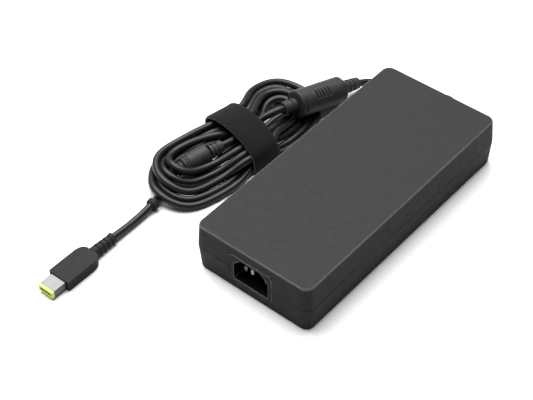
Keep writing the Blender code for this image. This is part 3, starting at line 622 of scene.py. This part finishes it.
def out_of_rod(line, free, start, end, radius):
    """Moves the free points that lie within the radius of a straight rod part of the way out."""
    start = np.array(start)
    axis = np.array(end) - start
    share = np.clip((line - start) @ axis / (axis @ axis), 0.0, 1.0)
    away = line - (start + share[:, None] * axis)
    distance = np.linalg.norm(away, axis=1)
    inside = free & (distance < radius)
    push = (radius - distance[inside]) / np.maximum(distance[inside], TINY)
    line[inside] += ROD_WEIGHT * away[inside] * push[:, None]


def into_strap(line, free):
    """Moves the free points under the strap part of the way into the room inside it."""
    across = strap_axes()[0]
    beside, forward = strap_places(line)
    wrapped = free & (np.abs(forward) < STRAP_HALF_BREADTH) & (np.abs(beside) < STRAP_CATCH)
    inward = np.clip(beside, -STRAP_INNER_HALF, STRAP_INNER_HALF) - beside
    line[wrapped, :2] += STRAP_WEIGHT * inward[wrapped, None] * across
    level = np.clip(line[wrapped, 2], STRAP_LOW, STRAP_HIGH)
    line[wrapped, 2] += STRAP_WEIGHT * (level - line[wrapped, 2])


def easing(line, target):
    """The moves that ease tight bends, space the points evenly and draw them to the target."""
    sag = np.zeros_like(line)
    sag[1:-1] = 0.5 * (line[:-2] + line[2:]) - line[1:-1]
    uneven = np.zeros_like(line)
    uneven[2:-2] = sag[2:-2] - 0.5 * (sag[1:-3] + sag[3:-1])
    bend = CORD_STEP ** 2 / (2 * np.maximum(np.linalg.norm(sag, axis=1), TINY))
    tight = np.clip((EASED_BEND - bend) / EASED_BEND, 0.0, 1.0)[:, None]
    ahead = np.zeros_like(line)
    ahead[1:-1] = line[2:] - line[:-2]
    ahead /= np.maximum(np.linalg.norm(ahead, axis=1), TINY)[:, None]
    lopsided = (sag * ahead).sum(axis=1)[:, None] * ahead
    home = target - line
    home -= (home * ahead).sum(axis=1)[:, None] * ahead
    move = UNEVEN_WEIGHT * uneven + (SAG_WEIGHT + BEND_WEIGHT * tight) * sag
    return move + SPACING_WEIGHT * lopsided + HOME_WEIGHT * home


def parting(line, first, second):
    """The moves that part the pairs of points closer than a diameter, smoothed along the cord."""
    away = line[first] - line[second]
    distance = np.linalg.norm(away, axis=1)
    touching = distance < CORD_WIDTH
    share = (CORD_WIDTH - distance[touching]) / np.maximum(distance[touching], TINY) / 2
    push = away[touching] * share[:, None]
    pushed = np.zeros_like(line)
    touches = np.zeros(len(line))
    for ends, sign in ((first[touching], 1), (second[touching], -1)):
        np.add.at(pushed, ends, sign * push)
        np.add.at(touches, ends, 1)
    pushed /= np.maximum(touches, 1)[:, None]
    for _ in range(PUSH_SMOOTHINGS):
        pushed[1:-1] = 0.25 * pushed[:-2] + 0.5 * pushed[1:-1] + 0.25 * pushed[2:]
    return pushed


def settle(line, held):
    """Lets the turns push each other to a diameter apart, on the floor and inside the strap."""
    target = line.copy()
    free = ~held
    index = np.arange(len(line))
    apart = np.abs(index[:, None] - index[None]) > OWN_STRETCH / CORD_STEP
    pairs = np.triu(apart, 1)
    from_held = np.abs(index[:, None] - index[held][None]).min(axis=1)
    clear_of_held = free & (from_held > HELD_NEIGHBOURS)
    rods = moulding_rods()
    for pass_number in range(SETTLING_PASSES):
        if pass_number % PASSES_PER_SEARCH == 0:
            gaps = ((line[:, None] - line[None]) ** 2).sum(-1)
            first, second = np.nonzero(pairs & (gaps < (CORD_WIDTH + SEARCH_MARGIN) ** 2))
        move = easing(line, target) + parting(line, first, second)
        move[held] = 0
        line = line + move
        for start, end, radius in rods:
            out_of_rod(line, clear_of_held, start, end, radius)
        into_strap(line, free)
        line[free, 2] = np.maximum(line[free, 2], CORD_RADIUS)
    return line


def cord_line():
    """The settled centreline of the whole cord, from the gland to the plug."""
    points = []
    held = []
    route = lead_route() + [("free", turn_route(turn)) for turn in TURNS] + tail_route()
    for kind, stretch in route:
        points += stretch
        held += [kind == "held"] * len(stretch)
    line, firm = smooth_line(points, held, CORD_STEP)
    return settle(line, firm)


def make_cord(line):
    curve = bpy.data.curves.new("dc_cord", "CURVE")
    curve.dimensions = "3D"
    spline = curve.splines.new("POLY")
    spline.points.add(len(line) - 1)
    for place, point in zip(line, spline.points):
        point.co = (*place, 1.0)
    curve.bevel_depth = CORD_RADIUS
    curve.bevel_resolution = 6
    curve.use_fill_caps = True
    spline.use_smooth = True
    cord = bpy.data.objects.new("dc_cord", curve)
    curve.materials.append(cord_rubber())
    bpy.context.scene.collection.objects.link(cord)
    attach(cord, "root")
    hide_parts("dc_cord_lead", "dc_cord_tail", "cord_hank")
    return cord


# Strap

def wrap_outline(centres, clearance, count):
    """Evenly spaced points on a stiff band's line round the cord sections at these centres.

    The band's reach in each direction is that of a taut band, averaged over neighbouring directions.
    """
    directions = 720
    angles = np.linspace(-math.pi, math.pi, directions + 1)[:-1]
    outwards = np.stack([np.cos(angles), np.sin(angles)], axis=1)
    sideways = np.stack([-np.sin(angles), np.cos(angles)], axis=1)
    taut = (outwards @ centres.T).max(axis=1) + clearance
    window = np.hanning(round(directions * STRAP_ROUNDING / 360))
    window /= window.sum()
    spare = len(window)
    padded = np.concatenate([taut[-spare:], taut, taut[:spare]])
    reach = np.convolve(padded, window, mode="same")[spare:-spare]
    reach += STRAP_SLACK * (taut - reach).max()
    reach += STRAP_BULGE * np.clip(np.cos(angles - STRAP_BULGE_ANGLE), 0.0, None) ** 2
    turn = angles[1] - angles[0]
    slope = (np.roll(reach, -1) - np.roll(reach, 1)) / (2 * turn)
    outline = outwards * reach[:, None] + sideways * slope[:, None]
    closed = np.vstack([outline, outline[:1]])
    along = length_along(closed)
    places = np.linspace(0.0, along[-1], count + 1)[:-1]
    return np.stack([np.interp(places, along, closed[:, axis]) for axis in (0, 1)], axis=1)


def strap_outlines(line, stations):
    """The strap's inner line at each station, smoothed from one station to the next."""
    station_reach = 3.0 * MM
    beside, forward = strap_places(line)
    near = np.abs(beside) < STRAP_SEARCH
    outlines = []
    for station in stations:
        wrapped = near & (np.abs(forward - station) < station_reach)
        centres = np.stack([beside[wrapped], line[wrapped, 2]], axis=1)
        outlines.append(wrap_outline(centres, CORD_RADIUS + STRAP_CLEARANCE, STRAP_ROUND_POINTS))
    outlines = np.array(outlines)
    for _ in range(3):
        outlines[1:-1] = 0.25 * outlines[:-2] + 0.5 * outlines[1:-1] + 0.25 * outlines[2:]
    return outlines


def strap_thickness(station):
    """The band is a little fuller in the middle of its breadth, and thinner at its two edges."""
    edge = abs(station) / STRAP_HALF_BREADTH
    thinning = STRAP_EDGE_THINNING * max(0.0, edge - STRAP_EDGE_FROM) / (1.0 - STRAP_EDGE_FROM)
    return STRAP_THICKNESS * (1.0 - thinning) + STRAP_CROWN * (1 - edge ** 2)


def strap_ring(shape, outline, station, lowest):
    """One ring of the strap's vertices, kept above the lowest height."""
    across, along = strap_axes()
    ring = []
    for beside, height in outline:
        x, y = np.array(STRAP_MIDDLE[:2]) + across * beside + along * station
        ring.append(shape.verts.new((x, y, max(height, lowest))))
    return ring


def make_strap(line):
    """A band of napped nylon, drawn tight round the cord's strands."""
    edge_margin = 0.05 * MM
    stations = np.linspace(-STRAP_HALF_BREADTH, STRAP_HALF_BREADTH, STRAP_STATIONS)
    shape = bmesh.new()
    inner_rings = []
    outer_rings = []
    for station, inner in zip(stations, strap_outlines(line, stations)):
        tangent = np.roll(inner, -1, axis=0) - np.roll(inner, 1, axis=0)
        tangent /= np.linalg.norm(tangent, axis=1)[:, None]
        outwards = np.stack([tangent[:, 1], -tangent[:, 0]], axis=1)
        outer = inner + outwards * strap_thickness(station)
        inner_rings.append(strap_ring(shape, inner, station, STRAP_INNER_FLOOR_GAP))
        outer_rings.append(strap_ring(shape, outer, station, STRAP_FLOOR_GAP))
    bridge(shape, inner_rings + outer_rings[::-1])
    bmesh.ops.recalc_face_normals(shape, faces=shape.faces)
    along = strap_axes()[1]
    for face in shape.faces:
        middle = np.array(face.calc_center_median()[:2]) - np.array(STRAP_MIDDLE[:2])
        # Faces at the strap's two long edges take the painted edge highlight
        face.material_index = int(abs(middle @ along) > STRAP_HALF_BREADTH - edge_margin)
    mesh = bpy.data.meshes.new("strap_band")
    shape.to_mesh(mesh)
    shape.free()
    strap = add_piece("strap_band", mesh, hook_and_loop(), angle=50)
    # The second material is the painted highlight on the long edges
    mesh.materials.append(strap_edge_highlight())
    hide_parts("hank_strap")


# Moulded pieces on the cord

def moulded_mesh(name, length, radius_at, steps, sides):
    """A tube along local Z whose outer radius is radius_at(angle, along), with a plain bore."""
    shape = bmesh.new()
    rings = []
    angles = [2 * math.pi * side / sides for side in range(sides)]

    def add_ring(radii, along):
        spots = [(r * math.cos(a), r * math.sin(a), along) for r, a in zip(radii, angles)]
        rings.append([shape.verts.new(spot) for spot in spots])

    for along in steps:
        add_ring([radius_at(angle, along) for angle in angles], along)
    for along in (length, 0.0):
        add_ring([BORE_RADIUS] * sides, along)
    bridge(shape, rings)
    bmesh.ops.recalc_face_normals(shape, faces=shape.faces)
    mesh = bpy.data.meshes.new(name)
    shape.to_mesh(mesh)
    shape.free()
    return mesh


def ramp(value, edge, width):
    """0 below the edge and 1 above it, changing smoothly over the width."""
    share = min(1.0, max(0.0, (value - edge) / width + 0.5))
    return share * share * (3 - 2 * share)


def within(value, low, high, soft):
    """1 from low to high and 0 outside, changing smoothly over the soft width at each."""
    return ramp(value, low, soft) * (1.0 - ramp(value, high, soft))


def turned_by(angle, middle):
    """The angle from the middle, in degrees, between -180 and 180."""
    return (math.degrees(angle) - middle + 180.0) % 360.0 - 180.0


def end_rounding(along, length, radius):
    """How far the outer surface draws in near each rounded end."""
    edge = min(along, length - along)
    if edge >= radius:
        return 0.0
    return radius - math.sqrt(max(0.0, radius ** 2 - (radius - edge) ** 2))


def fine_steps(length, pitch):
    """Places along a moulding, closer together at its two rounded ends."""
    rounded_ends = 0.8 * MM
    count = round(length / pitch)
    inner = [length * k / count for k in range(1, count)]
    ends = [place * MM for place in (0.0, 0.04, 0.12, 0.24, 0.42, 0.66)]
    ends += [length - end for end in ends]
    kept = [place for place in inner if rounded_ends < place < length - rounded_ends]
    return sorted(ends + kept)


def place_moulding(mesh, start, direction):
    thing = add_piece(mesh.name, mesh, moulded_rubber(), angle=60)
    mesh.transform(facing(start, direction))
    return thing


def make_ferrite_cover():
    """The large moulding: six raised finger ribs and a shallow slot near each end."""
    axis = FERRITE_END - FERRITE_START
    length = axis.length
    end_radius = 0.9 * MM
    ribs = 6
    first_rib = 0.36 * length
    rib_pitch = 2.3 * MM
    rib_width = 1.05 * MM
    rib_soft = 0.35 * MM
    rib_height = 0.35 * MM
    gap_depth = 0.95 * MM
    rib_spread = 19.0
    side_soft = 4.0
    slot_width = 0.8 * MM
    slot_soft = 0.25 * MM
    slot_depth = 0.8 * MM
    # How far each slot is from the bundle's end, and where it starts and ends round the ferrite
    slots = ((2.9 * MM, -62.0, -8.0), (length - 1.7 * MM, -40.0, 5.0))

    def band(along, middle, width, soft):
        return within(along, middle - width / 2, middle + width / 2, soft)

    def radius_at(angle, along):
        radius = FERRITE_RADIUS - end_rounding(along, length, end_radius)
        side = turned_by(angle, FERRITE_RIB_ANGLE)
        across = within(side, -rib_spread, rib_spread, side_soft)
        for rib in range(ribs):
            lift = band(along, first_rib + rib * rib_pitch, rib_width, rib_soft)
            radius += rib_height * lift * across
        for gap in range(ribs - 1):
            cut = band(along, first_rib + (gap + 0.5) * rib_pitch, rib_width, rib_soft)
            radius -= gap_depth * cut * across
        for middle, low, high in slots:
            slot = band(length - along, middle, slot_width, slot_soft)
            radius -= slot_depth * slot * within(side, low, high, side_soft)
        return radius

    steps = fine_steps(length, 0.20 * MM)
    mesh = moulded_mesh("ferrite_moulding", length, radius_at, steps, sides=180)
    cover = place_moulding(mesh, FERRITE_START, axis)
    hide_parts("ferrite_cover")


def make_bead_cover():
    """The small moulding near the plug's end of the cord, drawn in towards that end."""
    axis = BEAD_END - BEAD_START
    length = axis.length
    end_radius = 0.9 * MM
    taper_from = 0.45
    taper_at_end = 0.9075 * MM
    groove_places = (0.80, 0.88)
    groove_width = 0.6 * MM
    groove_soft = 0.2 * MM
    groove_depth = 0.45 * MM

    def radius_at(angle, along):
        taper = taper_at_end * max(0.0, along / length - taper_from) ** 2 / (1 - taper_from) ** 2
        radius = BEAD_RADIUS - end_rounding(along, length, end_radius) - taper
        for place in groove_places:
            low = place * length - groove_width / 2
            high = place * length + groove_width / 2
            radius -= groove_depth * within(along, low, high, groove_soft)
        return radius

    steps = fine_steps(length, 0.25 * MM)
    mesh = moulded_mesh("bead_moulding", length, radius_at, steps, sides=112)
    cover = place_moulding(mesh, BEAD_START, axis)
    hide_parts("plug_end_bead_cover")


# Camera, light and floor

CAMERA_PLACE = Vector((0.33091, -0.44671, 0.56269))
CAMERA_AZIMUTH = math.radians(41.309)
CAMERA_ELEVATION = math.radians(44.967)
CAMERA_ROLL = math.radians(-1.5205)
CAMERA_LENS = 95.58
SENSOR_WIDTH = 36.0
FLOOR_SIZE = 6.0
WORLD_STRENGTH = 0.28
SOFTBOX_PLACE = Vector((-0.50, 0.30, 1.50))
SOFTBOX_AIM = Vector((-0.04, 0.0, 0.0))
SOFTBOX_SIZE = 2.0
SOFTBOX_WATTS = 118.0


def make_camera():
    back = Vector((
        math.sin(CAMERA_AZIMUTH) * math.cos(CAMERA_ELEVATION),
        -math.cos(CAMERA_AZIMUTH) * math.cos(CAMERA_ELEVATION),
        math.sin(CAMERA_ELEVATION),
    ))
    right = Vector((0, 0, 1)).cross(back).normalized()
    up = back.cross(right)
    rolled_right = math.cos(CAMERA_ROLL) * right + math.sin(CAMERA_ROLL) * up
    rolled_up = -math.sin(CAMERA_ROLL) * right + math.cos(CAMERA_ROLL) * up
    turn = Matrix((rolled_right, rolled_up, back)).transposed()
    data = bpy.data.cameras.new("camera")
    data.lens = CAMERA_LENS
    data.sensor_width = SENSOR_WIDTH
    data.clip_start = 0.01
    data.clip_end = 50.0
    camera = bpy.data.objects.new("camera", data)
    camera.matrix_world = Matrix.Translation(CAMERA_PLACE) @ turn.to_4x4()
    bpy.context.scene.collection.objects.link(camera)
    bpy.context.scene.camera = camera


def softbox():
    data = bpy.data.lights.new("overhead_softbox", "AREA")
    data.shape = "DISK"
    data.size = SOFTBOX_SIZE
    data.energy = SOFTBOX_WATTS
    light = bpy.data.objects.new("overhead_softbox", data)
    light.location = SOFTBOX_PLACE
    direction = SOFTBOX_AIM - SOFTBOX_PLACE
    light.rotation_euler = direction.to_track_quat("-Z", "Y").to_euler()
    bpy.context.scene.collection.objects.link(light)


def make_lights():
    world = bpy.data.worlds.new("studio")
    world.use_nodes = True
    background = world.node_tree.nodes["Background"]
    background.inputs["Color"].default_value = (1.0, 1.0, 1.0, 1.0)
    background.inputs["Strength"].default_value = WORLD_STRENGTH
    bpy.context.scene.world = world
    bpy.context.scene.view_settings.view_transform = "Standard"
    softbox()


def make_floor():
    floor_material = surface(
        "pale_paper", (0.58, 0.58, 0.58), 0.9, grain=800.0, bump=0.01, mottle=0.004, specular=0.0,
    )
    half = FLOOR_SIZE / 2
    mesh = bpy.data.meshes.new("floor")
    corners = [(-half, -half, 0.0), (half, -half, 0.0), (half, half, 0.0), (-half, half, 0.0)]
    mesh.from_pydata(corners, [], [(0, 1, 2, 3)])
    mesh.materials.append(floor_material)
    floor = bpy.data.objects.new("floor", mesh)
    bpy.context.scene.collection.objects.link(floor)


def main():
    make_camera()
    make_lights()
    make_floor()
    dress_cad_nodes()
    line = cord_line()
    cord = make_cord(line)
    make_strap(line)
    make_ferrite_cover()
    make_bead_cover()


main()
